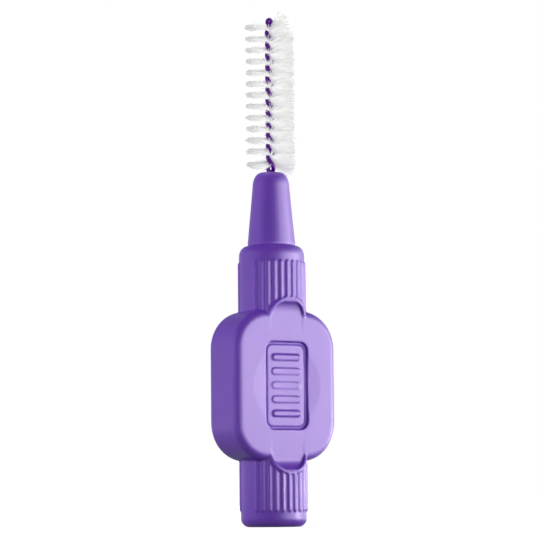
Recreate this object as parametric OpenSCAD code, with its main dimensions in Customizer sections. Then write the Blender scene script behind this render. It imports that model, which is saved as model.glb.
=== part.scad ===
// Interdental brush: a twisted wire brush moulded into a short plastic handle.
// The brush stands upright on the flat end of its tail, with the brush head at the top.
// The front face of the paddle looks along -Y, and the paddle is widest along X.

/* [Handle core] */
// Diameter of the round tail and collar between their ribs
core_d = 6.4; // [5.8:0.1:7]
// Length of the tail below the paddle
tail_length = 6.35; // [5:0.05:9]
// Radius of the rounded edge round the flat end of the tail
tail_end_r = 0.8; // [0.3:0.05:1.2]
// Length of the collar above the paddle, with its rounded shoulder
collar_length = 6.55; // [5.2:0.05:9]
// Height of the rounded shoulder at the top of the collar
shoulder_h = 1.15; // [0.8:0.05:1.8]

/* [Paddle] */
// Width of the paddle
paddle_w = 11.8; // [10:0.1:15]
// Height of the paddle
paddle_h = 14.6; // [13:0.1:19]
// Thickness of the paddle
paddle_t = 5.1; // [4.8:0.05:5.6]
// Radius of the four corners of the paddle, seen from the front
paddle_corner_r = 3.7; // [2.5:0.05:4.2]
// Radius of the rounded edges of the two faces
paddle_edge_r = 0.8; // [0.3:0.05:0.9]

/* [Thumb rests] */
// Radius of the round dish in each face
dish_r = 3.9; // [3.4:0.05:4.3]
// Depth of the dish at its middle
dish_depth = 0.2; // [0.1:0.01:0.3]
// Width of the upright panel sunk in the dish
panel_w = 4.9; // [4:0.05:5.6]
// Height of the panel
panel_h = 8.5; // [7.5:0.05:9.2]
// Corner radius of the panel
panel_corner_r = 0.9; // [0.4:0.05:1.3]
// Depth of the panel's floor below the middle of the dish
panel_depth = 0.05; // [0.02:0.01:0.2]
// Width of the groove round the edge of the panel
panel_groove_w = 0.3; // [0.15:0.01:0.4]
// Depth of that groove below the panel's floor
panel_groove_depth = 0.12; // [0.05:0.01:0.2]
// Number of raised grip bars in each panel
bar_count = 5; // [3:1:6]
// Length of a grip bar, without its round ends
bar_length = 2.7; // [1.5:0.05:3]
// Radius of the round bar that each grip bar is the top of
bar_r = 0.36; // [0.25:0.01:0.45]
// Height of a grip bar above the panel's floor
bar_rise = 0.22; // [0.1:0.01:0.24]
// Distance between grip bars
bar_pitch = 1.36; // [1:0.01:1.45]

/* [Scoops] */
// Radius of the round end of each scoop, where the face runs into the tail or the collar
scoop_r = 1.9; // [1.6:0.05:2.1]
// Distance that a scoop's lip reaches past the paddle
scoop_reach = 1.35; // [1.1:0.05:1.6]
// Radius of the hollow by which the floor turns up at the end of a scoop
scoop_wall_r = 1.05; // [0.6:0.05:1.2]
// Depth by which the scoop's floor has dropped below the face where the hollow starts
scoop_drop = 0.04; // [0.03:0.01:0.2]
// Radius of the round bar that the raised lip round a scoop is bent from
lip_bar_r = 0.25; // [0.2:0.01:0.28]
// Height of the lip above the round core, at the lip's top
lip_rise = 0.14; // [0.1:0.01:0.18]
// Length over which the floor starts to dip below the face, ahead of the round end
scoop_run = 1.6; // [0.8:0.05:2]

/* [Grip ribs] */
// Number of ribs on the front, and again on the back, of the tail and the collar
rib_count = 12; // [6:2:12]
// Angle between neighbouring ribs, in degrees
rib_step = 11.7; // [10:0.1:12]
// Radius of one rib's round back
rib_r = 0.2; // [0.12:0.01:0.24]
// Height of a rib above the core
rib_rise = 0.14; // [0.06:0.01:0.16]
// Bare length of the tail between its flat end and the ribs
tail_bare = 1.45; // [1:0.05:2]
// Bare length of the collar between its ribs and the rounded shoulder
collar_bare = 0.55; // [0.1:0.05:1]

/* [Nose] */
// Length of the tapered nose above the collar
nose_length = 7.15; // [5:0.05:10]
// Diameter of the nose at its foot
nose_foot_d = 4.7; // [4:0.02:5]
// Diameter of the nose just below its rounded top
nose_neck_d = 3.62; // [3:0.01:3.9]
// Height of the rounded top of the nose
nose_round_h = 1.4; // [0.6:0.05:1.6]
// Diameter of the small flat top of the nose
nose_flat_d = 1.9; // [1.3:0.05:2.2]
// Height of the fine groove round the foot of the nose
groove_h = 0.13; // [0.06:0.01:0.2]
// Depth of the groove
groove_depth = 0.1; // [0.05:0.01:0.15]
// Width of the flat ledge between the groove and the shoulder
ledge_w = 0.06; // [0.04:0.01:0.15]

/* [Wire] */
// Diameter of the bare steel wire
steel_d = 0.3; // [0.2:0.01:0.34]
// Outer diameter of the plastic coating on the wire
coating_d = 0.43; // [0.4:0.01:0.5]
// Clearance drawn between the steel and its coating
coating_fit = 0.005; // [0.004:0.001:0.01]
// Gap between the two legs of the folded wire, which the filaments fill
leg_gap = 0.11; // [0.09:0.01:0.2]
// Length of one full turn of the twist
twist_pitch = 2.244; // [1.8:0.002:3]
// Direction of the first leg at the top of the nose, in degrees from +X
twist_start = 38; // [0:0.1:180]
// Length of the wire that stands out of the nose
wire_reach = 15.45; // [12:0.05:17.5]
// Length of the wire that the handle is moulded round
wire_embed = 7; // [4:0.1:12]
// Clearance drawn between the coated wire and its socket
socket_fit = 0.01; // [0.005:0.001:0.03]

/* [Bristles] */
// Diameter of the brush head
head_d = 4.95; // [4.4:0.05:6]
// Bare length of the wire between the nose and the lowest filaments
head_bare = 0.65; // [0.45:0.05:1.2]
// Distance between rows of filaments, each with one strand on either side of the wire
row_pitch = 0.07; // [0.068:0.001:0.078]
// Clearance drawn between the clamped band of filaments and each leg
band_fit = 0.01; // [0.005:0.001:0.02]
// Thickness of one strand at its tip
strand_tip_t = 0.055; // [0.04:0.001:0.06]
// Rise of the topmost strands' tips, which have no neighbours above them
top_lean = 0.8; // [0.4:0.05:1.2]
// Drop of the lowest strands' tips
foot_lean = 0.4; // [0.1:0.05:0.45]
// Length of the head over which the strands begin to lean at either end
lean_zone = 1; // [0.5:0.05:1.6]

/* [Hidden] */
$fn = 72;
// Overrun of every cut, so that no face is left as a film
cut_over = 0.5;
// Sink of an added piece into what carries it
seat = 0.25;
// Angle between the two legs of the wire, and between the front and the back
half_turn = 180;

core_r = core_d / 2;
paddle_z0 = tail_length;
paddle_z1 = paddle_z0 + paddle_h;
collar_z1 = paddle_z1 + collar_length;
nose_z1 = collar_z1 + nose_length;
face_y = paddle_t / 2;
shoulder_z0 = collar_z1 - shoulder_h;
groove_z0 = collar_z1 - groove_h;
nose_foot_r = nose_foot_d / 2;
nose_neck_r = nose_neck_d / 2;
nose_flat_r = nose_flat_d / 2;
nose_round_z0 = nose_z1 - nose_round_h;
// Flat stretches of the paddle's outline, between its corners
paddle_flat_w = paddle_w - 2 * paddle_corner_r;
paddle_flat_h = paddle_h - 2 * paddle_corner_r;
// The lip of a scoop is a half ring of round bar, trimmed a little by the scoop inside it.
// Its two feet end just inside the face, and its top stands out of the core, so it leans.
lip_foot_sink = 0.04;
lip_trim = 0.1;
lip_mid_r = scoop_r + lip_bar_r - lip_trim;
lip_foot_y = face_y - lip_bar_r - lip_foot_sink;
lip_top_y = core_r - lip_bar_r + lip_rise;
lip_lean = asin((lip_top_y - lip_foot_y) / lip_mid_r);
// Height of the ring's centre above the paddle's edge
scoop_centre_z = scoop_reach - lip_bar_r - lip_mid_r * cos(lip_lean);

leg_r = (leg_gap + coating_d) / 2;
twist_outer_r = leg_r + coating_d / 2;
socket_r = twist_outer_r + socket_fit;
wire_z0 = nose_z1 - wire_embed;
fold_z = nose_z1 + wire_reach - twist_outer_r;
// The twist dies away over one diameter of the coated wire, just below the fold
ease_length = coating_d;
ease_z = fold_z - ease_length;

head_z0 = nose_z1 + head_bare;
head_z1 = fold_z - leg_gap;
row_count = floor((head_z1 - head_z0) / row_pitch);
head_r = head_d / 2;
band_t = leg_gap - 2 * band_fit;

// Number of cross-sections of the wire in one turn, round its fold, and corners of each
rings_per_turn = 10;
fold_rings = 8;
wire_sides = 8;
// Number of straight pieces in each rounded stretch of an outline
arc_steps = 10;

// Angle of the twist at height z: it winds left-handed, so it falls as z rises
function steady_twist(z) = twist_start - 360 * (z - nose_z1) / twist_pitch;
function eased_rise(rise) = rise - rise * rise / (2 * ease_length);
function twist_at(z) =
    z < ease_z ? steady_twist(z) : steady_twist(ease_z + eased_rise(z - ease_z));
// Share of the full twist rate at height z
function twist_share(z) = z < ease_z ? 1 : 1 - (z - ease_z) / ease_length;

function outward(angle) = [cos(angle), sin(angle), 0];
function sideways(angle) = [-sin(angle), cos(angle), 0];
function upward(height) = [0, 0, height];

// One cross-section of a leg: its centre, its outward direction and its side direction
function leg_station(z, turn) =
    let (angle = twist_at(z) + turn,
         rate = -2 * PI * leg_r / twist_pitch * twist_share(z),
         tilt = atan(rate))
    [outward(angle) * leg_r + upward(z),
     outward(angle),
     (turn == 0 ? 1 : -1) * (sideways(angle) * cos(tilt) - upward(1) * sin(tilt))];
function fold_station(turn) =
    let (along = outward(twist_at(fold_z)) * cos(turn) + upward(1) * sin(turn))
    [upward(fold_z) + along * leg_r, along, sideways(twist_at(fold_z))];

leg_rings = ceil((fold_z - wire_z0) / twist_pitch * rings_per_turn);
function leg_z(i) = wire_z0 + (fold_z - wire_z0) * i / leg_rings;
stations = concat(
    [for (i = [0 : leg_rings]) leg_station(leg_z(i), 0)],
    [for (i = [1 : fold_rings - 1]) fold_station(half_turn * i / fold_rings)],
    [for (i = [leg_rings : -1 : 0]) leg_station(leg_z(i), half_turn)]);

function ring_points(r) =
    [for (s = stations, j = [0 : wire_sides - 1])
        s[0] + (s[1] * cos(360 * j / wire_sides) + s[2] * sin(360 * j / wire_sides)) * r];
function next_side(j) = (j + 1) % wire_sides;
// Faces between the rings, outwards or, for a bore, inwards
function wall_faces(first, inward) =
    [for (i = [0 : len(stations) - 2], j = [0 : wire_sides - 1])
        let (a = first + i * wire_sides + j,
             b = first + i * wire_sides + next_side(j),
             c = b + wire_sides,
             d = a + wire_sides)
        each inward ? [[a, b, c], [a, c, d]] : [[a, c, b], [a, d, c]]];

// Upper half of a rounded profile, from its foot to its top, as points of a quarter ellipse
function quarter_round(r_in, r_out, z_low, z_high) =
    [for (i = [0 : arc_steps])
        [r_in + (r_out - r_in) * cos(90 * i / arc_steps),
         z_low + (z_high - z_low) * sin(90 * i / arc_steps)]];

module front_and_back() {
    for (turn = [0, half_turn])
        rotate([0, 0, turn])
            children();
}

// The tail: a round stub whose flat end is the foot that the brush stands on
module tail() {
    rotate_extrude()
        difference() {
            square([core_r, tail_length]);
            translate([core_r - tail_end_r, 0])
                difference() {
                    translate([0, -cut_over])
                        square([tail_end_r + cut_over, tail_end_r + cut_over]);
                    translate([0, tail_end_r])
                        circle(tail_end_r);
                }
        }
}

// The round core where it passes through the paddle, flush with both faces. It runs on a
// little way into the tail and the collar, so all of them grow together.
module waist() {
    intersection() {
        translate([0, 0, paddle_z0 - seat])
            cylinder(r = core_r, h = paddle_h + 2 * seat);
        translate([-core_r, -face_y, paddle_z0 - seat])
            cube([core_d, paddle_t, paddle_h + 2 * seat]);
    }
}

// The collar with its rounded shoulder, and the tapered nose above it
module collar_and_nose() {
    rotate_extrude()
        polygon(concat(
            [[0, paddle_z1], [core_r, paddle_z1]],
            quarter_round(nose_foot_r + ledge_w, core_r, shoulder_z0, groove_z0),
            [[nose_foot_r - groove_depth, groove_z0],
             [nose_foot_r - groove_depth, collar_z1],
             [nose_foot_r, collar_z1]],
            quarter_round(nose_flat_r, nose_neck_r, nose_round_z0, nose_z1),
            [[0, nose_z1]]));
}

// Section of the paddle's rim: half of a flat bar with two rounded edges
module rim_section() {
    translate([0, -face_y])
        square([paddle_corner_r - paddle_edge_r, paddle_t]);
    translate([0, paddle_edge_r - face_y])
        square([paddle_corner_r, paddle_t - 2 * paddle_edge_r]);
    for (side = [-1, 1])
        translate([paddle_corner_r - paddle_edge_r, side * (face_y - paddle_edge_r)])
            circle(paddle_edge_r);
}

module paddle() {
    translate([0, 0, paddle_z0 + paddle_h / 2])
        rotate([90, 0, 0]) {
            cube([paddle_flat_w, paddle_flat_h, paddle_t], center = true);
            for (side = [-1, 1]) {
                mirror([side < 0 ? 1 : 0, 0, 0])
                    translate([paddle_flat_w / 2, 0, 0])
                        rotate([90, 0, 0])
                            linear_extrude(paddle_flat_h, center = true)
                                rim_section();
                rotate([0, 0, side * 90])
                    translate([paddle_flat_h / 2, 0, 0])
                        rotate([90, 0, 0])
                            linear_extrude(paddle_flat_w, center = true)
                                rim_section();
            }
            for (quarter = [0 : 3])
                let (half_w = paddle_flat_w / 2, half_h = paddle_flat_h / 2)
                    translate([half_w * (quarter == 0 || quarter == 3 ? 1 : -1),
                               half_h * (quarter < 2 ? 1 : -1), 0])
                        rotate([0, 0, 90 * quarter])
                            rotate_extrude(angle = 90)
                                rim_section();
        }
}

// One rib: a round bar along the core with a ball at its free end
module rib(z_low, z_high, ball_z) {
    translate([core_r + rib_rise - rib_r, 0, 0]) {
        translate([0, 0, z_low])
            cylinder(r = rib_r, h = z_high - z_low);
        translate([0, 0, ball_z])
            sphere(rib_r);
    }
}

module ribs() {
    first = -90 - rib_step * (rib_count - 1) / 2;
    tail_ball_z = tail_bare + rib_r;
    collar_ball_z = shoulder_z0 - collar_bare - rib_r;
    for (i = [0 : rib_count - 1])
        rotate([0, 0, first + rib_step * i]) {
            rib(tail_ball_z, paddle_z0 + seat, tail_ball_z);
            rib(paddle_z1 - seat, collar_ball_z, collar_ball_z);
        }
}

// Repeats what follows at both ends of the paddle. It is drawn for the upper end, from the
// middle of the paddle's upper edge.
module at_both_ends() {
    translate([0, 0, paddle_z1])
        children();
    translate([0, 0, paddle_z0])
        mirror([0, 0, 1])
            children();
}

// Lays a flat outline in the plane of the lip's ring, with the ring's centre at its origin
module in_lip_plane() {
    translate([0, -lip_foot_y, scoop_centre_z])
        rotate([90 + lip_lean, 0, 0])
            children();
}

// The raised lip: an arch of round bar that ends the ribs
module lip() {
    in_lip_plane()
        rotate_extrude(angle = half_turn)
            translate([lip_mid_r, 0])
                circle(lip_bar_r);
}

// The scoop: the face dips on into the round core, and then turns up in a hollow
module scoop() {
    intersection() {
        in_lip_plane()
            linear_extrude(core_d, center = true)
                scoop_outline();
        rotate([90, 0, 90])
            linear_extrude(2 * scoop_r + cut_over, center = true)
                scoop_profile();
    }
}

// Outline of the scoop, inside the lip
module scoop_outline() {
    circle(scoop_r);
    translate([-scoop_r, -scoop_run - cut_over])
        square([2 * scoop_r, scoop_run + cut_over]);
}

// What the scoop takes away, seen from the side. The floor dips from the face to the hollow,
// which ends where the lip's bar begins.
module scoop_profile() {
    start_z = scoop_centre_z - scoop_run;
    end_z = scoop_reach - 2 * lip_bar_r;
    floor_y = scoop_drop - face_y;
    polygon(concat(
        [[-face_y, start_z]],
        [for (i = [0 : arc_steps])
            [floor_y - scoop_wall_r * (1 - cos(90 * i / arc_steps)),
             end_z - scoop_wall_r * (1 - sin(90 * i / arc_steps))]],
        [[-core_d, end_z],
         [-core_d, start_z]]));
}

// The shallow round dish in a face: a large ball just dips into it
module dish() {
    ball_r = (dish_r * dish_r + dish_depth * dish_depth) / (2 * dish_depth);
    translate([0, dish_depth - face_y - ball_r, paddle_z0 + paddle_h / 2])
        sphere(ball_r);
}

// The outline of the panel, or a smaller one that lies inside it by an even inset
module panel_outline(inset) {
    flat_w = panel_w - 2 * panel_corner_r;
    flat_h = panel_h - 2 * panel_corner_r;
    corner_r = panel_corner_r - inset;
    square([flat_w, flat_h + 2 * corner_r], center = true);
    square([flat_w + 2 * corner_r, flat_h], center = true);
    for (x = [-1, 1], y = [-1, 1])
        translate([x * flat_w / 2, y * flat_h / 2])
            circle(corner_r);
}

// The sunk panel, less the grip bars that stand on its floor, and the groove at its edge
module panel() {
    sunk = dish_depth + panel_depth;
    translate([0, sunk - face_y, paddle_z0 + paddle_h / 2]) {
        difference() {
            rotate([90, 0, 0])
                linear_extrude(sunk + cut_over)
                    panel_outline(0);
            for (i = [0 : bar_count - 1])
                translate([0, bar_r - bar_rise, (i - (bar_count - 1) / 2) * bar_pitch])
                    grip_bar();
        }
        translate([0, panel_groove_depth, 0])
            rotate([90, 0, 0])
                linear_extrude(panel_groove_depth + sunk)
                    difference() {
                        panel_outline(0);
                        panel_outline(panel_groove_w);
                    }
    }
}

module grip_bar() {
    rotate([0, 90, 0])
        cylinder(r = bar_r, h = bar_length, center = true);
    for (side = [-1, 1])
        translate([side * bar_length / 2, 0, 0])
            sphere(bar_r);
}

// The blind hole that the twisted wire is moulded into
module socket() {
    translate([0, 0, wire_z0])
        cylinder(r = socket_r, h = wire_embed + cut_over);
}

module handle() {
    color("#9B7BDE")
        difference() {
            union() {
                tail();
                waist();
                collar_and_nose();
                paddle();
                front_and_back() {
                    ribs();
                    at_both_ends()
                        lip();
                }
            }
            front_and_back() {
                dish();
                panel();
                at_both_ends()
                    scoop();
            }
            socket();
        }
}

// The bare steel: one wire, folded in half and twisted, so both cut ends lie in the handle
module steel_wire() {
    last = (len(stations) - 1) * wire_sides;
    color("#B9BCC4")
        polyhedron(
            points = ring_points(steel_d / 2),
            faces = concat(
                wall_faces(0, false),
                [for (j = [1 : wire_sides - 2]) [0, j, j + 1]],
                [for (j = [1 : wire_sides - 2]) [last, last + j + 1, last + j]]),
            convexity = 10);
}

// The coating: a thin tube round the whole length of the steel
module wire_coating() {
    inner = len(stations) * wire_sides;
    last = inner - wire_sides;
    color("#43158F")
        polyhedron(
            points = concat(
                ring_points(coating_d / 2),
                ring_points(steel_d / 2 + coating_fit)),
            faces = concat(
                wall_faces(0, false),
                wall_faces(inner, true),
                [for (j = [0 : wire_sides - 1])
                    let (a = j, b = next_side(j), c = inner + b, d = inner + a)
                    each [[a, b, c], [a, c, d]]],
                [for (j = [0 : wire_sides - 1])
                    let (a = last + j, b = last + next_side(j), c = inner + b, d = inner + a)
                    each [[a, c, b], [a, d, c]]]),
            convexity = 10);
}

// The band is as wide as the twisted wire, so every strand starts at the wire's outside
band_r = twist_outer_r + coating_fit;
// Corners of one cross-section of the band: across it, and through its thickness
band_shares = [[1, -1], [1, 1], [0, 1], [-1, 1], [-1, -1], [0, -1]];
band_sides = len(band_shares);

// The filaments leave the wire square to the line between its two legs
function band_angle(z) = twist_at(z) + 90;
function row_z(k) = head_z0 + row_pitch * k;
function band_points() =
    [for (k = [0 : row_count], corner = band_shares)
        let (z = row_z(k), angle = band_angle(z))
        outward(angle) * band_r * corner[0]
            + sideways(angle) * band_t / 2 * corner[1]
            + upward(z)];

// How far a strand's tip leans up or down, for a row that starts at height z
function past(limit, z) = max(0, z - limit) / lean_zone;
function tip_lean(z) =
    top_lean * pow(past(head_z1 - lean_zone, z), 2)
    - foot_lean * pow(past(-head_z0 - lean_zone, -z), 2);
// A leaning strand reaches less far out
function tip_reach(z) =
    band_r + sqrt(pow(head_r - band_r, 2) - pow(tip_lean(z), 2));
function tip_points(side) =
    [for (k = [0 : row_count - 1], corner = [[-1, -1], [1, -1], [1, 1], [-1, 1]])
        let (z = row_z(k + 1 / 2), angle = band_angle(z))
        outward(angle) * tip_reach(z) * side
            + sideways(angle) * strand_tip_t / 2 * corner[0] * side
            + upward(z + tip_lean(z) + strand_tip_t / 2 * corner[1])];

// A strand joins the four corners of its row in the band, given in order, to its tip's four
function strand_faces(root, tip) =
    concat(
        [for (j = [0 : 3])
            let (n = (j + 1) % 4)
            each [[root[j], tip + n, root[n]], [root[j], tip + j, tip + n]]],
        [[tip, tip + 2, tip + 1], [tip, tip + 3, tip + 2]]);

module bristles() {
    right_tips = (row_count + 1) * band_sides;
    left_tips = right_tips + row_count * 4;
    top = row_count * band_sides;
    color("#F4F4F6")
        polyhedron(
            points = concat(band_points(), tip_points(1), tip_points(-1)),
            faces = concat(
                [for (k = [0 : row_count - 1], j = [1, 2, 4, 5])
                    let (a = k * band_sides + j,
                         b = k * band_sides + (j + 1) % band_sides,
                         c = b + band_sides,
                         d = a + band_sides)
                    each [[a, c, b], [a, d, c]]],
                [for (k = [0 : row_count - 1])
                    let (a = k * band_sides, c = a + band_sides)
                    each strand_faces([a, a + 1, c + 1, c], right_tips + 4 * k)],
                [for (k = [0 : row_count - 1])
                    let (a = k * band_sides + 3, c = a + band_sides)
                    each strand_faces([a, a + 1, c + 1, c], left_tips + 4 * k)],
                [[0, 1, 2], [0, 2, 5], [5, 2, 3], [5, 3, 4]],
                [[top, top + 2, top + 1], [top, top + 5, top + 2],
                 [top + 5, top + 3, top + 2], [top + 5, top + 4, top + 3]]),
            convexity = 10);
}

handle();
steel_wire();
wire_coating();
bristles();
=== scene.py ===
# %% [markdown]
# An interdental brush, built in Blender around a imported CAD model.
#
# The real brush is made in three steps. A coated steel wire is folded in half and twisted
# round a band of nylon filaments, the head is trimmed, and a plastic handle is moulded
# round the wire's two ends. The CAD model holds the sizes. This script gives each piece
# its finished surface and its material, and it never moves a CAD piece.

# %% Load the fixed frame and keep its box
import math

import bmesh
import bpy
from mathutils import Matrix, Vector


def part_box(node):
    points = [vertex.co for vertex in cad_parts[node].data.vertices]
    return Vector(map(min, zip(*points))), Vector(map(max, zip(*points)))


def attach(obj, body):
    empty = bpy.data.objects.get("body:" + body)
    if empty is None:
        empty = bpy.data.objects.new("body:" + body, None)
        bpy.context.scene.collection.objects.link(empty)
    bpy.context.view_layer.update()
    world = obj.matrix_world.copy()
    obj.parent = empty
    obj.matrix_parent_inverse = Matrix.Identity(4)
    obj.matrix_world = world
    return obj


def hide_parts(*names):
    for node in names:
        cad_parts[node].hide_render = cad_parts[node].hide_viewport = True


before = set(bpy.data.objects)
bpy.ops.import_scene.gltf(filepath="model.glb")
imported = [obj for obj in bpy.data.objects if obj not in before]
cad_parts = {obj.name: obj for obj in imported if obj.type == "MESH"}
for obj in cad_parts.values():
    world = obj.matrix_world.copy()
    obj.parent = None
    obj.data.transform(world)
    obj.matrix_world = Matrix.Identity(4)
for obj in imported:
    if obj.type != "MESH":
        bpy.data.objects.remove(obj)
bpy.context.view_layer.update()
scene = bpy.context.scene
MM = 0.001
print("CAD nodes:", sorted(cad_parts))

# %% [markdown]
# Sizes come from the frame wherever a CAD node's box shows them. The few that a box can't
# show, such as the pitch of the twist, are written here as the CAD model has them.

# %% Sizes read from the frame
nose_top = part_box("handle")[1].z
coating_low, coating_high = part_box("wire_coating")
wire_foot = coating_low.z
wire_top = coating_high.z
brush_low, brush_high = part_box("bristles")
head_radius = max(brush_high.x, brush_high.y, -brush_low.x, -brush_low.y)
print("nose top, wire top, head radius, mm:",
      [round(value / MM, 3) for value in (nose_top, wire_top, head_radius)])

# %% Sizes that the boxes don't show
steel_radius = 0.15 * MM
coating_radius = 0.215 * MM
# The coating's bore is this much wider than the steel, on each side.
coating_fit = 0.005 * MM
# The filaments are held in the gap between the wire's two legs.
leg_gap = 0.11 * MM
# One full turn of the twist, and the twist's angle at the top of the nose.
twist_pitch = 2.244 * MM
twist_start = math.radians(38)
# The fold is a half circle on top of the legs, and the twist eases to a stop below it.
leg_radius = leg_gap / 2 + coating_radius
fold_height = wire_top - leg_radius - coating_radius
ease_length = 2 * coating_radius
print("fold height, mm:", round(fold_height / MM, 3))

# %% [markdown]
# Small helpers keep the rest short. One adds a node to any tree, shader or geometry, with
# its settings and links. The others turn an sRGB hex colour into the linear values that a
# shader works in, start a material, and put a mesh, a lamp or a camera in the scene.

# %% Helpers for nodes, colours and objects
def add(tree, kind, inputs=None, **settings):
    """Adds a node. inputs maps a socket's name or number to a value or an output."""
    node = tree.nodes.new(kind)
    for name, value in settings.items():
        setattr(node, name, value)
    for socket, value in (inputs or {}).items():
        if isinstance(value, bpy.types.NodeSocket):
            tree.links.new(value, node.inputs[socket])
        else:
            node.inputs[socket].default_value = value
    return node


def linear(hex_colour):
    """A linear RGBA colour from an sRGB one, such as "8060C0"."""
    channels = [int(hex_colour[i:i + 2], 16) / 255 for i in (0, 2, 4)]
    bent = [c / 12.92 if c <= 0.04045 else ((c + 0.055) / 1.055) ** 2.4 for c in channels]
    return (*bent, 1)


def new_material(name):
    """An empty material, and its tree."""
    material = bpy.data.materials.new(name)
    material.use_nodes = True
    material.node_tree.nodes.clear()
    return material, material.node_tree


def new_object(name, data):
    """A new object in the scene that holds a mesh, a lamp or a camera."""
    thing = bpy.data.objects.new(name, data)
    scene.collection.objects.link(thing)
    return thing


# %% [markdown]
# The handle is polypropylene, injection moulded in one shot. It is a waxy plastic: satin,
# a little translucent, and softened at every edge. Its skin takes the mould's fine spark
# texture, and the thick paddle sinks very slightly as it cools, which bends reflections.
# An image could show these marks, but it would need a layout on every face. Noise that
# reads the object's own coordinates needs none, and each noise has a real size.

# %% Moulded polypropylene
def moulded_polypropylene():
    """Satin purple plastic with a fine skin, slow waviness and slight flow streaks."""
    material, tree = new_material("moulded_polypropylene")
    place = add(tree, "ShaderNodeTexCoord").outputs["Object"]
    # The grain blurs the gloss unevenly. A real one is nearer 0.04 mm across, which is too
    # fine to show, so it is drawn at 0.12 mm.
    grain = add(tree, "ShaderNodeTexNoise", {
        "Vector": place, "Scale": 1 / (0.12 * MM), "Detail": 2, "Roughness": 0.6})
    satin = add(tree, "ShaderNodeMapRange", {
        "Value": grain.outputs["Fac"], "To Min": 0.34, "To Max": 0.42})
    # The sink marks are about 4 mm across, and they bend the pale reflections.
    sink = add(tree, "ShaderNodeTexNoise", {
        "Vector": place, "Scale": 1 / (4 * MM), "Detail": 2, "Roughness": 0.5})
    wave = add(tree, "ShaderNodeBump", {
        "Height": sink.outputs["Fac"], "Strength": 0.4, "Distance": 0.10 * MM})
    skin = add(tree, "ShaderNodeBump", {
        "Height": grain.outputs["Fac"], "Strength": 0.12, "Distance": 0.012 * MM,
        "Normal": wave.outputs[0]})
    # Flow streaks are about 1 mm wide and drawn out along the brush. They tint it a little.
    drawn = add(tree, "ShaderNodeMapping", {"Vector": place, "Scale": (1, 1, 0.3)})
    flow = add(tree, "ShaderNodeTexNoise", {
        "Vector": drawn.outputs[0], "Scale": 1 / (1.1 * MM), "Detail": 3})
    tint = add(tree, "ShaderNodeMix", {
        "Factor": flow.outputs["Fac"], "A": linear("6433B1"), "B": linear("703BC0")},
        data_type="RGBA")
    # The gloss is about twice as strong as polypropylene's own, whose IOR is 1.49, to match
    # the photograph. It is slightly violet, because some of it comes from just below the
    # skin. Red and blue light travel farther in the plastic than green does.
    shader = add(tree, "ShaderNodeBsdfPrincipled", {
        "Base Color": tint.outputs["Result"], "Roughness": satin.outputs[0],
        "Normal": skin.outputs[0], "IOR": 1.53, "Specular IOR Level": 1.0,
        "Specular Tint": linear("FFF3FF"), "Subsurface Weight": 0.4,
        "Subsurface Radius": (1.3, 0.4, 1.0), "Subsurface Scale": 0.3 * MM})
    add(tree, "ShaderNodeOutputMaterial", {"Surface": shader.outputs[0]})
    return material


plastic = moulded_polypropylene()
print("material:", plastic.name)

# %% [markdown]
# The export takes plain meshes, so every piece that modifiers have shaped is turned into
# one. Two calls then tie the piece to the CAD model: it rides with a body, and the CAD
# node that it stands for is hidden.

# %% Two helpers that finish a piece
def bake_modifiers(piece):
    """Turns a piece with its modifiers into a plain mesh."""
    bpy.context.view_layer.update()
    evaluated = piece.evaluated_get(bpy.context.evaluated_depsgraph_get())
    mesh = bpy.data.meshes.new_from_object(evaluated)
    piece.modifiers.clear()
    piece.data = mesh


def finish_piece(piece, node):
    """Smooths a finished mesh and ties it to its CAD node."""
    piece.data.polygons.foreach_set("use_smooth", [True] * len(piece.data.polygons))
    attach(piece, "root")
    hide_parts(node)
    print(piece.name, "has", len(piece.data.polygons), "faces")


# %% [markdown]
# The handle's edges are all a little round, because plastic can't fill a sharp corner of
# its mould and the mould is polished by hand. The CAD model's edges are sharp, so the
# visible handle starts as a copy of it. A Bevel modifier could round the edges, but it
# needs clean faces, which a CAD mesh doesn't have. So a voxel remesh turns the copy into
# small even squares, and a smooth then rounds every edge and every inner corner by about
# 0.1 mm. Last, the faces that the flat places don't need are taken away.

# %% The moulded handle
def moulded_handle(voxel, rounds, kept):
    """A copy of the CAD handle with every edge and corner softened.

    It is worked on in millimetres, because the modifiers are less exact on small numbers.
    voxel is the size of a square in mm, rounds the strength of the smooth, and kept the
    share of the faces that stays.
    """
    merge_distance = 0.0005
    builder = bmesh.new()
    builder.from_mesh(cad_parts["handle"].data)
    bmesh.ops.scale(builder, vec=(1 / MM,) * 3, verts=builder.verts)
    bmesh.ops.remove_doubles(builder, verts=builder.verts, dist=merge_distance)
    mesh = bpy.data.meshes.new("moulded_handle")
    builder.to_mesh(mesh)
    builder.free()
    mesh.materials.clear()
    mesh.materials.append(plastic)
    piece = new_object("moulded_handle", mesh)
    remesh = piece.modifiers.new("even_squares", "REMESH")
    remesh.mode = "VOXEL"
    remesh.voxel_size = voxel
    soften = piece.modifiers.new("soften", "SMOOTH")
    soften.factor = 0.5
    soften.iterations = rounds
    thin = piece.modifiers.new("fewer_on_flats", "DECIMATE")
    thin.ratio = kept
    bake_modifiers(piece)
    piece.data.transform(Matrix.Scale(MM, 4))
    return piece


handle = moulded_handle(voxel=0.08, rounds=3, kept=0.55)
finish_piece(handle, "handle")

# %% [markdown]
# The wire's coating is a soft extruded plastic, deep violet and glossier than the handle.
# It keeps the metal from touching the teeth. One fine noise is enough here: it breaks up
# the gloss, varies the violet and gives the skin a faint unevenness.

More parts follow.
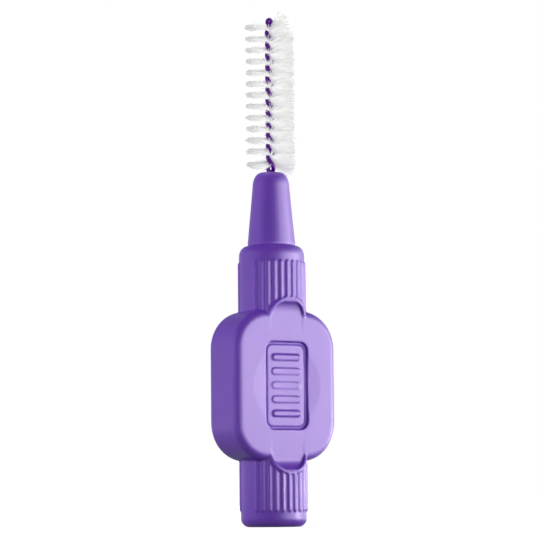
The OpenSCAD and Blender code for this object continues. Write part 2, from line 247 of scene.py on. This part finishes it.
# %% Extruded coating
def extruded_coating():
    """Deep violet plastic, smooth, with a faint unevenness left by the extruder."""
    material, tree = new_material("extruded_coating")
    place = add(tree, "ShaderNodeTexCoord").outputs["Object"]
    # The unevenness is about 0.08 mm across, a fifth of the coated wire.
    skin = add(tree, "ShaderNodeTexNoise", {
        "Vector": place, "Scale": 1 / (0.08 * MM), "Detail": 2})
    tint = add(tree, "ShaderNodeMix", {
        "Factor": skin.outputs["Fac"], "A": linear("40006C"), "B": linear("600894")},
        data_type="RGBA")
    gloss = add(tree, "ShaderNodeMapRange", {
        "Value": skin.outputs["Fac"], "To Min": 0.22, "To Max": 0.32})
    bump = add(tree, "ShaderNodeBump", {
        "Height": skin.outputs["Fac"], "Strength": 0.1, "Distance": 0.005 * MM})
    # The gloss is violet too, because the plastic is clear just below its skin.
    shader = add(tree, "ShaderNodeBsdfPrincipled", {
        "Base Color": tint.outputs["Result"], "Roughness": gloss.outputs[0],
        "Normal": bump.outputs[0], "IOR": 1.5, "Specular Tint": linear("F3C4FF")})
    add(tree, "ShaderNodeOutputMaterial", {"Surface": shader.outputs[0]})
    return material


coating_plastic = extruded_coating()
print("material:", coating_plastic.name)

# %% [markdown]
# The wire and the bristles both follow a rule, so Geometry Nodes make them. Each tree has
# a named input for every size. It runs once, on an empty mesh, and its result is kept as
# a plain mesh.

# %% Helpers for geometry trees
def geometry_tree(name, sizes):
    """A geometry node tree with one named input for each size, and those inputs."""
    tree = bpy.data.node_groups.new(name, "GeometryNodeTree")
    tree.interface.new_socket("Geometry", in_out="INPUT", socket_type="NodeSocketGeometry")
    tree.interface.new_socket("Geometry", in_out="OUTPUT", socket_type="NodeSocketGeometry")
    for size in sizes:
        kind = "NodeSocketInt" if isinstance(sizes[size], int) else "NodeSocketFloat"
        tree.interface.new_socket(size, in_out="INPUT", socket_type=kind)
    return tree, add(tree, "NodeGroupInput").outputs


def end_tree(tree, geometry, material):
    """Ends a tree with real faces, because the export drops instances, and a material."""
    real = add(tree, "GeometryNodeRealizeInstances", {"Geometry": geometry})
    dressed = add(tree, "GeometryNodeSetMaterial", {
        "Geometry": real.outputs[0], "Material": material})
    add(tree, "NodeGroupOutput", {"Geometry": dressed.outputs[0]})


def grow(name, tree, sizes):
    """Runs a tree with its sizes on an empty mesh and returns the result as an object."""
    seed = new_object(name + "_seed", bpy.data.meshes.new(name + "_seed"))
    modifier = seed.modifiers.new("grow", "NODES")
    modifier.node_group = tree
    for item in tree.interface.items_tree:
        if item.in_out == "INPUT" and item.name in sizes:
            modifier[item.identifier] = sizes[item.name]
    bake_modifiers(seed)
    mesh = seed.data
    bpy.data.objects.remove(seed)
    mesh.name = name
    return new_object(name, mesh)


# %% [markdown]
# A formula in a tree takes one Math node for each sum, and ten calls in a row are hard to
# read. So a helper reads the formula as text, with each sign after the values it works
# on: "a b +" is a plus b, and "a b - 2 *" is twice what b leaves of a. Written like this,
# a formula needs no brackets, and the helper needs only a stack.

# %% A formula as a chain of Math nodes
OPERATIONS = {
    "+": ("ADD", 2), "-": ("SUBTRACT", 2), "*": ("MULTIPLY", 2), "/": ("DIVIDE", 2),
    "min": ("MINIMUM", 2), "max": ("MAXIMUM", 2), "mod": ("MODULO", 2),
    "sin": ("SINE", 1), "cos": ("COSINE", 1), "abs": ("ABSOLUTE", 1), "sign": ("SIGN", 1)}


def formula(tree, text, **values):
    """Builds Math nodes from a formula whose signs follow their values."""
    stack = []
    for word in text.split():
        if word in OPERATIONS:
            operation, count = OPERATIONS[word]
            taken = [stack.pop() for _ in range(count)][::-1]
            node = add(tree, "ShaderNodeMath", dict(enumerate(taken)), operation=operation)
            stack.append(node.outputs[0])
        else:
            stack.append(values[word] if word in values else float(word))
    return stack.pop()


# %% [markdown]
# The twisted wire is one path: up one leg, over the fold and down the other leg. A Screw
# modifier could twist two legs, but it couldn't ease the twist to a stop below the fold.
# So a formula places each point of the path, and a circle swept along it makes the tube.
# A point's distance from the top of the fold, along the wire, says how far down it lies,
# and the sign of that distance says which leg it is on.

# %% The twist
def twist_angle(tree, height, size):
    """Angle of the twist at a height. It eases to a stop just below the fold."""
    over = formula(tree, "z fold ease - - 0 max", z=height,
                   fold=size["Fold Height"], ease=size["Ease Length"])
    return formula(
        tree, "start z foot - over over * ease 2 * / - pitch / tau * -",
        start=size["Twist Start"], z=height, foot=size["Nose Top"], over=over,
        ease=size["Ease Length"], pitch=size["Twist Pitch"], tau=math.tau)


# %% The twisted wire's node tree
def twisted_wire_tree(sizes, material):
    """A tube along the folded and twisted path."""
    tree, size = geometry_tree("twisted_wire", sizes)
    radius = size["Leg Radius"]
    quarter = math.pi / 2
    half = size["Points per Leg"]
    line = add(tree, "GeometryNodeCurvePrimitiveLine")
    path = add(tree, "GeometryNodeResampleCurve", {
        "Curve": line.outputs[0], "Count": formula(tree, "half 2 * 1 +", half=half)})
    index = add(tree, "GeometryNodeInputIndex").outputs[0]
    # arc and leg are the lengths of half the fold and of one leg, and away is a point's
    # distance from the top of the fold.
    arc = formula(tree, "r quarter *", r=radius, quarter=quarter)
    leg = formula(tree, "fold foot -", fold=size["Fold Height"], foot=size["Wire Foot"])
    away = formula(tree, "i half - half / leg arc + *", i=index, half=half, leg=leg, arc=arc)
    side = formula(tree, "s sign", s=away)
    # turn is the angle up round the fold: a quarter turn at its top, 0 down the legs.
    turn = formula(tree, "quarter s abs r / - 0 max", quarter=quarter, s=away, r=radius)
    height = formula(tree, "fold s abs arc - 0 max -", fold=size["Fold Height"], s=away,
                     arc=arc)
    angle = twist_angle(tree, height, size)
    reach = formula(tree, "r turn cos * side *", r=radius, turn=turn, side=side)
    place = add(tree, "ShaderNodeCombineXYZ", {
        "X": formula(tree, "d a cos *", d=reach, a=angle),
        "Y": formula(tree, "d a sin *", d=reach, a=angle),
        "Z": formula(tree, "z r turn sin * +", z=height, r=radius, turn=turn)})
    bent = add(tree, "GeometryNodeSetPosition", {
        "Geometry": path.outputs[0], "Position": place.outputs[0]})
    ring = add(tree, "GeometryNodeCurvePrimitiveCircle", {
        "Resolution": size["Sides"], "Radius": size["Tube Radius"]})
    tube = add(tree, "GeometryNodeCurveToMesh", {
        "Curve": bent.outputs[0], "Profile Curve": ring.outputs[0], "Fill Caps": False})
    end_tree(tree, tube.outputs[0], material)
    return tree


# %% [markdown]
# The coating is a tube, so a Solidify modifier gives the swept surface a wall that reaches
# inwards to the steel. Its two ends are inside the nose, where the plastic holds them.

# %% Grow the coated wire
wire_sizes = {
    "Twist Start": twist_start, "Twist Pitch": twist_pitch, "Nose Top": nose_top,
    "Fold Height": fold_height, "Ease Length": ease_length, "Wire Foot": wire_foot,
    "Leg Radius": leg_radius, "Tube Radius": coating_radius, "Points per Leg": 320,
    "Sides": 16}
wire_tree = twisted_wire_tree(wire_sizes, coating_plastic)
coated_wire = grow("coated_wire", wire_tree, wire_sizes)
wall = coated_wire.modifiers.new("wall", "SOLIDIFY")
wall.thickness = coating_radius - steel_radius - coating_fit
wall.offset = -1
bake_modifiers(coated_wire)
finish_piece(coated_wire, "wire_coating")

# %% [markdown]
# The filaments are drawn nylon, clear and colourless, about 0.06 mm thick. Most of the
# light goes on through each one, so the wire shows between them, and the filaments hardly
# shade each other. A path tracer would need hundreds of bounces for that. Here each
# filament lets part of a ray straight through, spreads the rest to both sides, and casts
# no shadow, which gives the same pale, even grey.

# %% Drawn nylon
def drawn_nylon():
    """Clear nylon with a soft gloss, a little milky inside."""
    material, tree = new_material("drawn_nylon")
    place = add(tree, "ShaderNodeTexCoord").outputs["Object"]
    # Milky patches are about 0.3 mm long. They keep the strands from looking alike.
    cloud = add(tree, "ShaderNodeTexNoise", {
        "Vector": place, "Scale": 1 / (0.3 * MM), "Detail": 2})
    tint = add(tree, "ShaderNodeMix", {
        "Factor": cloud.outputs["Fac"], "A": linear("FAFAF8"), "B": linear("FFFFFF")},
        data_type="RGBA")
    gloss = add(tree, "ShaderNodeMapRange", {
        "Value": cloud.outputs["Fac"], "To Min": 0.3, "To Max": 0.42})
    skin = add(tree, "ShaderNodeBsdfPrincipled", {
        "Base Color": tint.outputs["Result"], "Roughness": gloss.outputs[0], "IOR": 1.53})
    spread = add(tree, "ShaderNodeBsdfTranslucent", {"Color": tint.outputs["Result"]})
    # clear_share of a ray goes straight through. Half of the rest is scattered back by the
    # skin, and half is spread on through the strand.
    clear_share = 0.62
    milky = add(tree, "ShaderNodeMixShader", {
        0: 0.5, 1: skin.outputs[0], 2: spread.outputs[0]})
    clear = add(tree, "ShaderNodeBsdfTransparent", {"Color": linear("FFFFFF")})
    both = add(tree, "ShaderNodeMixShader", {
        0: clear_share, 1: milky.outputs[0], 2: clear.outputs[0]})
    add(tree, "ShaderNodeOutputMaterial", {"Surface": both.outputs[0]})
    return material


nylon = drawn_nylon()
print("material:", nylon.name)

# %% [markdown]
# A filament is a plain round strand that the trimmer's blade has left a little blunt. It
# is repeated thousands of times, so it has only four sides and ten faces. Hair curves
# would be lighter still, but the export needs real faces.

# %% One strand of the brush
def strand_mesh(length, radius, sides=4):
    """A thin round strand along +X with a blunt rounded tip, as a plain mesh."""
    # Each ring has its place along the strand and its width, as shares of the whole.
    station_shares = [(0, 1), (0.985, 0.92), (1, 0.45)]
    builder = bmesh.new()
    rings = []
    for share, width in station_shares:
        rings.append([builder.verts.new((
            share * length,
            radius * width * math.cos(math.tau * side / sides),
            radius * width * math.sin(math.tau * side / sides)))
            for side in range(sides)])
    for low, high in zip(rings, rings[1:]):
        for side in range(sides):
            after = (side + 1) % sides
            builder.faces.new((low[side], low[after], high[after], high[side]))
    builder.faces.new(rings[0][::-1])
    builder.faces.new(rings[-1])
    mesh = bpy.data.meshes.new("strand")
    builder.to_mesh(mesh)
    builder.free()
    return mesh


# %% [markdown]
# No two filaments lie alike, so each strand gets eight random numbers. jitter moves it
# along the wire and spread turns it round the wire. The two strays tilt it up or down,
# roll turns it on itself, and cut is the error of the trim. swept and risen are its shares
# of two larger movements, told below. Every draw has a fixed seed, so each run of the
# script gives the same brush.

# %% Random draws for the strands
def strand_draws(tree, seed):
    """One random number a strand for each purpose, by name."""
    # A draw's own seed follows its place in this list, so a new draw goes at the end.
    ranges = [
        ("jitter", 0.2, 0.8), ("spread", -1, 1), ("stray", -1, 1), ("roll", 0, math.tau),
        ("cut", 0.94, 1.03), ("second stray", -1, 1), ("swept", 0, 1), ("risen", 0.6, 1.5)]
    draws = {}
    for channel, (name, low, high) in enumerate(ranges, 1):
        node = add(tree, "FunctionNodeRandomValue", {
            "Min": low, "Max": high,
            "Seed": formula(tree, "seed channel +", seed=seed, channel=channel)})
        draws[name] = node.outputs["Value"]
    return draws


# %% [markdown]
# Every strand leaves the wire square to the line between its two legs, on one side or the
# other by turns. So the tips draw a double spiral, which shows as separate tufts from the
# side.

# %% Where a strand leaves the wire
def strand_root(tree, size, draws, index):
    """The height at which a strand leaves the wire, and the direction that it takes."""
    share = formula(tree, "i jitter + count /", i=index, jitter=draws["jitter"],
                    count=size["Strands"])
    height = formula(tree, "share high low - * low +", share=share,
                     low=size["Head Low"], high=size["Head High"])
    side = formula(tree, "i 2 mod pi *", i=index, pi=math.pi)
    square = formula(
        tree, "twist quarter + side + spread fan * +",
        twist=twist_angle(tree, height, size), quarter=math.pi / 2, side=side,
        spread=draws["spread"], fan=size["Fan"])
    return height, square


# %% [markdown]
# In the photograph only the left side has tufts, and the right side is one even mass, as
# on a head that wear or packing has swept to the right. Strands could be bent by hand, but
# a rule keeps them easy to change. A strand that points to the front or the back turns
# towards the right, by a random share of the sweep.

# %% How a strand is swept
def strand_sweep(tree, size, draws, square):
    """The direction of a strand after the sweep, and how near it was to that side."""
    towards = size["Swept Towards"]
    aside = formula(tree, "square towards - sin", square=square, towards=towards)
    angle = formula(
        tree, "square aside aside * aside * sweep * swept * -", square=square,
        aside=aside, sweep=size["Sweep"], swept=draws["swept"])
    # near is 1 where a strand points to the swept side, and 0 where it points away.
    near = formula(tree, "square towards - cos 1 + 2 /", square=square, towards=towards)
    return angle, near


# %% [markdown]
# Strands on the right also stray more up and down, and they fill the gaps there. On the
# left, a strand that strays far is cut shorter, so each tuft ends in a point. At the top
# the right-hand strands rise, because nothing holds them down, and at the foot all droop
# a little.

# %% How a strand leans, and how long it is
def strand_lean(tree, size, draws, height, near):
    """A strand's angle above the level, and its length as a share of the plain one's."""
    # top and foot go from 0 to 1 across the zones at the two ends of the head.
    top = formula(tree, "z high zone - - 0 max zone /", z=height, high=size["Head High"],
                  zone=size["Lean Zone"])
    foot = formula(tree, "low zone + z - 0 max zone /", z=height, low=size["Head Low"],
                   zone=size["Lean Zone"])
    rise = formula(tree, "top near * risen *", top=top, near=near, risen=draws["risen"])
    stray = formula(tree, "a b +", a=draws["stray"], b=draws["second stray"])
    wobble = formula(tree, "stray near more * least + * splay *", stray=stray, near=near,
                     more=size["Splay Gain"], least=size["Least Splay"],
                     splay=size["Splay"])
    lean = formula(
        tree, "rise up * foot foot * down * - wobble +", rise=rise, foot=foot,
        up=size["Top Lean"], down=size["Foot Lean"], wobble=wobble)
    length = formula(
        tree, "cut rise taper * - stray stray * 1 near - * point * -",
        cut=draws["cut"], rise=rise, taper=size["Top Taper"], stray=stray, near=near,
        point=size["Tuft Taper"])
    return lean, length


# %% [markdown]
# The tree puts one point on the wire for each strand, sets a copy of the strand on each
# point, turns it and trims it. The copies are instances, so they cost almost nothing until
# the last step makes them real.

# %% The bristles' node tree
def bristle_tree(sizes, strand, material):
    """Strands along the twist, alternately on either side of the wire."""
    tree, size = geometry_tree("bristle_head", sizes)
    draws = strand_draws(tree, size["Seed"])
    line = add(tree, "GeometryNodeMeshLine", {"Count": size["Strands"]})
    index = add(tree, "GeometryNodeInputIndex").outputs[0]
    height, square = strand_root(tree, size, draws, index)
    angle, near = strand_sweep(tree, size, draws, square)
    lean, length = strand_lean(tree, size, draws, height, near)
    root = add(tree, "ShaderNodeCombineXYZ", {
        "X": formula(tree, "root a cos *", root=size["Root Reach"], a=square),
        "Y": formula(tree, "root a sin *", root=size["Root Reach"], a=square),
        "Z": height})
    points = add(tree, "GeometryNodeSetPosition", {
        "Geometry": line.outputs[0], "Position": root.outputs[0]})
    turn = add(tree, "ShaderNodeCombineXYZ", {
        "X": draws["roll"], "Y": formula(tree, "0 lean -", lean=lean), "Z": angle})
    trim = add(tree, "ShaderNodeCombineXYZ", {"X": length, "Y": 1, "Z": 1})
    shape = add(tree, "GeometryNodeObjectInfo", {"Object": strand})
    placed = add(tree, "GeometryNodeInstanceOnPoints", {
        "Points": points.outputs[0], "Instance": shape.outputs["Geometry"],
        "Rotation": turn.outputs[0], "Scale": trim.outputs[0]})
    end_tree(tree, placed.outputs[0], material)
    return tree


# %% [markdown]
# The head's sizes are matched to the photograph: where the wire is bare, how far strands
# turn and lean, and how they are trimmed. There are more strands than a real head has,
# because one that lets most light through covers little.

# %% Sizes of the head
# The camera stands this far round the brush, so the picture's right is this far round
# from +X.
view_azimuth = math.radians(-34)
# The wire is bare between the nose and the head, and between the head and the fold.
bare_foot = 0.65 * MM
bare_top = 0.35 * MM
bristle_sizes = {
    "Twist Start": twist_start, "Twist Pitch": twist_pitch, "Nose Top": nose_top,
    "Fold Height": fold_height, "Ease Length": ease_length,
    "Head Low": nose_top + bare_foot, "Head High": fold_height - bare_top,
    "Lean Zone": 1.2 * MM, "Top Lean": math.radians(42), "Foot Lean": math.radians(11),
    "Top Taper": 0.22, "Tuft Taper": 0.06, "Root Reach": 0.1 * MM,
    "Sweep": math.radians(58), "Swept Towards": view_azimuth, "Fan": math.radians(5),
    "Splay": math.radians(7), "Least Splay": 0.8, "Splay Gain": 0.7,
    "Strands": 5600, "Seed": 7}
strand_radius = 0.032 * MM
strand_length = head_radius - strand_radius - bristle_sizes["Root Reach"]
print("strand, mm long:", round(strand_length / MM, 3))

# %% Grow the bristles
strand = new_object("strand", strand_mesh(strand_length, strand_radius))
bristles = grow("filaments", bristle_tree(bristle_sizes, strand, nylon), bristle_sizes)
bpy.data.objects.remove(strand)
finish_piece(bristles, "bristles")
# Clear strands shade nothing, and scattered light passes between them.
bristles.visible_shadow = False
bristles.visible_diffuse = False

# %% [markdown]
# The wire itself is drawn stainless steel. The coating and the handle hide all of it, so
# its CAD solid stays as it is and only gets its material: a grey metal whose gloss is
# drawn out along it in fine lines.

# %% Drawn stainless steel
def drawn_steel():
    """Stainless wire with fine die lines along its length."""
    material, tree = new_material("drawn_steel")
    place = add(tree, "ShaderNodeTexCoord").outputs["Object"]
    # A die line is finer than any render shows. It is drawn 0.02 mm wide, and 20 times as
    # long.
    drawn = add(tree, "ShaderNodeMapping", {"Vector": place, "Scale": (1, 1, 0.05)})
    lines = add(tree, "ShaderNodeTexNoise", {
        "Vector": drawn.outputs[0], "Scale": 1 / (0.02 * MM), "Detail": 2})
    gloss = add(tree, "ShaderNodeMapRange", {
        "Value": lines.outputs["Fac"], "To Min": 0.2, "To Max": 0.35})
    shader = add(tree, "ShaderNodeBsdfPrincipled", {
        "Base Color": linear("C4C6CC"), "Metallic": 1.0, "Roughness": gloss.outputs[0]})
    add(tree, "ShaderNodeOutputMaterial", {"Surface": shader.outputs[0]})
    return material


steel_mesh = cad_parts["steel_wire"].data
steel_mesh.materials.clear()
steel_mesh.materials.append(drawn_steel())
print("steel_wire has", len(steel_mesh.polygons), "triangles")

# %% [markdown]
# The brush stands in a white studio. Its right-hand surfaces mirror a bright wall and
# lamp, and the camera's own side is darker, which draws the dark band down the middle of
# every round piece. So what a ray meets in the floor and the world depends on its kind:
# the camera sees plain white, a mirror ray sees the room, and scattered light sees only a
# dim backdrop. A room of real walls would do the same, but formulas are easier to set.

# %% Directions and kinds of ray
view_right = (math.cos(view_azimuth), math.sin(view_azimuth), 0)
view_front = (math.sin(view_azimuth), -math.cos(view_azimuth), 0)


def ray_kinds(tree):
    """Two values: 1 for a camera ray, and 1 for a camera, mirror or glass ray."""
    path = add(tree, "ShaderNodeLightPath").outputs
    camera_ray = path["Is Camera Ray"]
    seen = formula(tree, "camera mirror max glass max", camera=camera_ray,
                   mirror=path["Is Glossy Ray"], glass=path["Is Transmission Ray"])
    return camera_ray, seen


print("the picture's right is", [round(value, 3) for value in view_right])

# %% [markdown]
# The floor is matt white paint to the camera, and the brush's shadow shows on it. Farther
# out, where less of the lamps' light falls, it glows more, so no horizon shows. To a mirror
# ray it shows painted light instead: a glow that is brightest on the right, and painted
# shade close to the brush, where the brush would shade a real floor. To scattered light it
# is plain grey, so little light comes up from it and the undersides stay dark.

# %% The floor's material
def white_floor():
    """White paint for the camera; grey satin for other rays, and a painted glow for mirrors.
    """
    material, tree = new_material("white_floor")
    camera_ray, seen = ray_kinds(tree)
    place = add(tree, "ShaderNodeTexCoord").outputs["Object"]
    middle = add(tree, "ShaderNodeVectorMath", {0: place}, operation="LENGTH")
    right = add(tree, "ShaderNodeVectorMath", {0: place, 1: view_right},
                operation="DOT_PRODUCT")
    # Distances are in metres from the middle of the brush's foot.
    # window is painted light: to mirror rays the floor glows brighter towards the right.
    window = add(tree, "ShaderNodeMapRange", {
        "Value": right.outputs["Value"], "From Min": 0.004, "From Max": 0.03,
        "To Min": 1.0, "To Max": 12})
    # shade is painted shade: the mirrored glow dims close to the brush, as under its shadow.
    shade = add(tree, "ShaderNodeMapRange", {
        "Value": middle.outputs["Value"], "From Min": 0.015, "From Max": 0.12,
        "To Min": 0.15, "To Max": 0.9})
    glow = add(tree, "ShaderNodeMapRange", {
        "Value": middle.outputs["Value"], "From Min": 0.08, "From Max": 0.4,
        "To Min": 0.5, "To Max": 0.95})
    brightest_mirrored = 3.2
    strength = formula(
        tree, "seen shade window * most min 1 camera - * camera glow * + *", seen=seen,
        shade=shade.outputs[0], window=window.outputs[0], most=brightest_mirrored,
        camera=camera_ray, glow=glow.outputs[0])
    light = add(tree, "ShaderNodeEmission", {
        "Color": linear("FFFFFF"), "Strength": strength})
    satin = add(tree, "ShaderNodeBsdfPrincipled", {
        "Base Color": linear("808080"), "Roughness": 0.14, "IOR": 1.49})
    paint = add(tree, "ShaderNodeBsdfDiffuse", {"Color": linear("F4F4F4")})
    surface = add(tree, "ShaderNodeMixShader", {
        0: camera_ray, 1: satin.outputs[0], 2: paint.outputs[0]})
    both = add(tree, "ShaderNodeAddShader", {0: surface.outputs[0], 1: light.outputs[0]})
    add(tree, "ShaderNodeOutputMaterial", {"Surface": both.outputs[0]})
    return material


# %% The floor
floor_half = 0.6
corner_shares = [(-1, -1), (1, -1), (1, 1), (-1, 1)]
floor_mesh = bpy.data.meshes.new("floor")
floor_mesh.from_pydata(
    [(x * floor_half, y * floor_half, 0) for x, y in corner_shares], [], [(0, 1, 2, 3)])
floor_mesh.materials.append(white_floor())
floor = new_object("floor", floor_mesh)
print("floor, m across:", 2 * floor_half)

# %% [markdown]
# The world is the room. To a mirror ray its wall is bright near the floor and dim above,
# dim towards the camera and brightest on the right. To scattered light it is a backdrop
# that is bright behind the brush and dim elsewhere, so the lamps do most of the lighting.

# %% The world
def studio_world():
    """White to the camera, a wall with a bright right to mirrors, and a dim backdrop."""
    world = bpy.data.worlds.new("studio")
    world.use_nodes = True
    tree = world.node_tree
    tree.nodes.clear()
    camera_ray, seen = ray_kinds(tree)
    ray = add(tree, "ShaderNodeTexCoord").outputs["Generated"]
    up = add(tree, "ShaderNodeSeparateXYZ", {0: ray}).outputs["Z"]
    front = add(tree, "ShaderNodeVectorMath", {0: ray, 1: view_front},
                operation="DOT_PRODUCT").outputs["Value"]
    right = add(tree, "ShaderNodeVectorMath", {0: ray, 1: view_right},
                operation="DOT_PRODUCT").outputs["Value"]
    low_wall = add(tree, "ShaderNodeMapRange", {
        "Value": up, "From Min": math.sin(math.radians(15)),
        "From Max": math.sin(math.radians(45)), "To Min": 1.0, "To Max": 0.2})
    open_front = add(tree, "ShaderNodeMapRange", {
        "Value": front, "From Min": math.cos(math.radians(60)),
        "From Max": math.cos(math.radians(15)), "To Min": 1.0, "To Max": 0.2})
    window = add(tree, "ShaderNodeMapRange", {
        "Value": right, "From Min": 0.2, "From Max": 0.9, "To Min": 0.55, "To Max": 2.4})
    wall = formula(tree, "low open min window * camera max", low=low_wall.outputs[0],
                   open=open_front.outputs[0], window=window.outputs[0],
                   camera=camera_ray)
    backdrop = add(tree, "ShaderNodeMapRange", {
        "Value": front, "From Min": -0.9, "From Max": -0.3, "To Min": 1.0, "To Max": 0.22})
    dim = add(tree, "ShaderNodeBackground", {
        "Color": linear("FFFFFF"), "Strength": backdrop.outputs[0]})
    bright = add(tree, "ShaderNodeBackground", {
        "Color": linear("FFFFFF"), "Strength": wall})
    mixed = add(tree, "ShaderNodeMixShader", {
        0: seen, 1: dim.outputs[0], 2: bright.outputs[0]})
    add(tree, "ShaderNodeOutputWorld", {"Surface": mixed.outputs[0]})
    return world


scene.world = studio_world()
# With this setting a colour renders about as it is written.
scene.view_settings.view_transform = "Standard"
print("world:", scene.world.name)

# %% [markdown]
# The camera stands where the photograph's did: 34 degrees round from the paddle's face and
# a little below the middle of the brush. It is far away for a thing of 5 cm, so the brush
# shows almost no perspective. The lens follows from the photograph's scale, and a small
# roll and a step to the side put the brush in its place in the frame.

# %% The camera
def direction(azimuth, rise):
    """A unit vector that points this far round from the front, and this far up."""
    return Vector((math.sin(azimuth) * math.cos(rise), -math.cos(azimuth) * math.cos(rise),
                   math.sin(rise)))


view_rise = math.radians(-5.1)
view_roll = math.radians(-0.52)
view_distance = 0.25
aim = Vector((0, 0, 25.06 * MM))
pixels_per_mm = 10.2
frame_pixels = 540
step_pixels = 1.65
sensor_mm = 36.0
camera_data = bpy.data.cameras.new("camera")
camera_data.sensor_width = sensor_mm
camera_data.lens = sensor_mm * view_distance / (frame_pixels / pixels_per_mm * MM)
camera_data.clip_start = 0.01
camera = new_object("camera", camera_data)
scene.camera = camera
backwards = direction(view_azimuth, view_rise)
level = (-backwards).to_track_quat("-Z", "Y").to_matrix()
camera.rotation_euler = (level @ Matrix.Rotation(view_roll, 3, "Z")).to_euler()
camera.location = aim + backwards * view_distance
camera.location -= level @ Vector((step_pixels, 0, 0)) / pixels_per_mm * MM
print("lens, mm:", round(camera_data.lens, 1))

# %% [markdown]
# Five soft lamps light the brush. The key, on the right, is mirrored in the paddle's face
# and down the right of every round piece, and the wing softens its inner edge. The fill
# and the front lamp lift the shade, and no surface mirrors them. The low one is a small
# card on the right, level with the tail.

# %% The lamps
def softbox(name, azimuth, rise, distance, width, height, watts, mirrored=True):
    """A rectangular lamp that faces the middle of the brush.

    azimuth is in degrees to the right of the camera, rise in degrees up, and the distance
    and the lamp's size in metres.
    """
    lamp = bpy.data.lights.new(name, "AREA")
    lamp.shape = "RECTANGLE"
    lamp.size = width
    lamp.size_y = height
    lamp.energy = watts
    holder = new_object(name, lamp)
    holder.visible_glossy = mirrored
    out = direction(view_azimuth + math.radians(azimuth), math.radians(rise))
    holder.location = aim + out * distance
    holder.rotation_euler = (-out).to_track_quat("-Z", "Y").to_euler()
    print(name, "lamp:", watts, "W")


softbox("key", azimuth=88, rise=2, distance=0.35, width=0.30, height=0.18, watts=0.72)
softbox("wing", azimuth=50, rise=8, distance=0.37, width=0.18, height=0.14, watts=0.24)
softbox("fill", azimuth=-78, rise=10, distance=0.40, width=0.30, height=0.40, watts=1.55,
        mirrored=False)
softbox("front", azimuth=8, rise=5, distance=0.40, width=0.25, height=0.25, watts=0.3,
        mirrored=False)
softbox("low", azimuth=94, rise=-9.5, distance=0.12, width=0.03, height=0.01, watts=0.02)
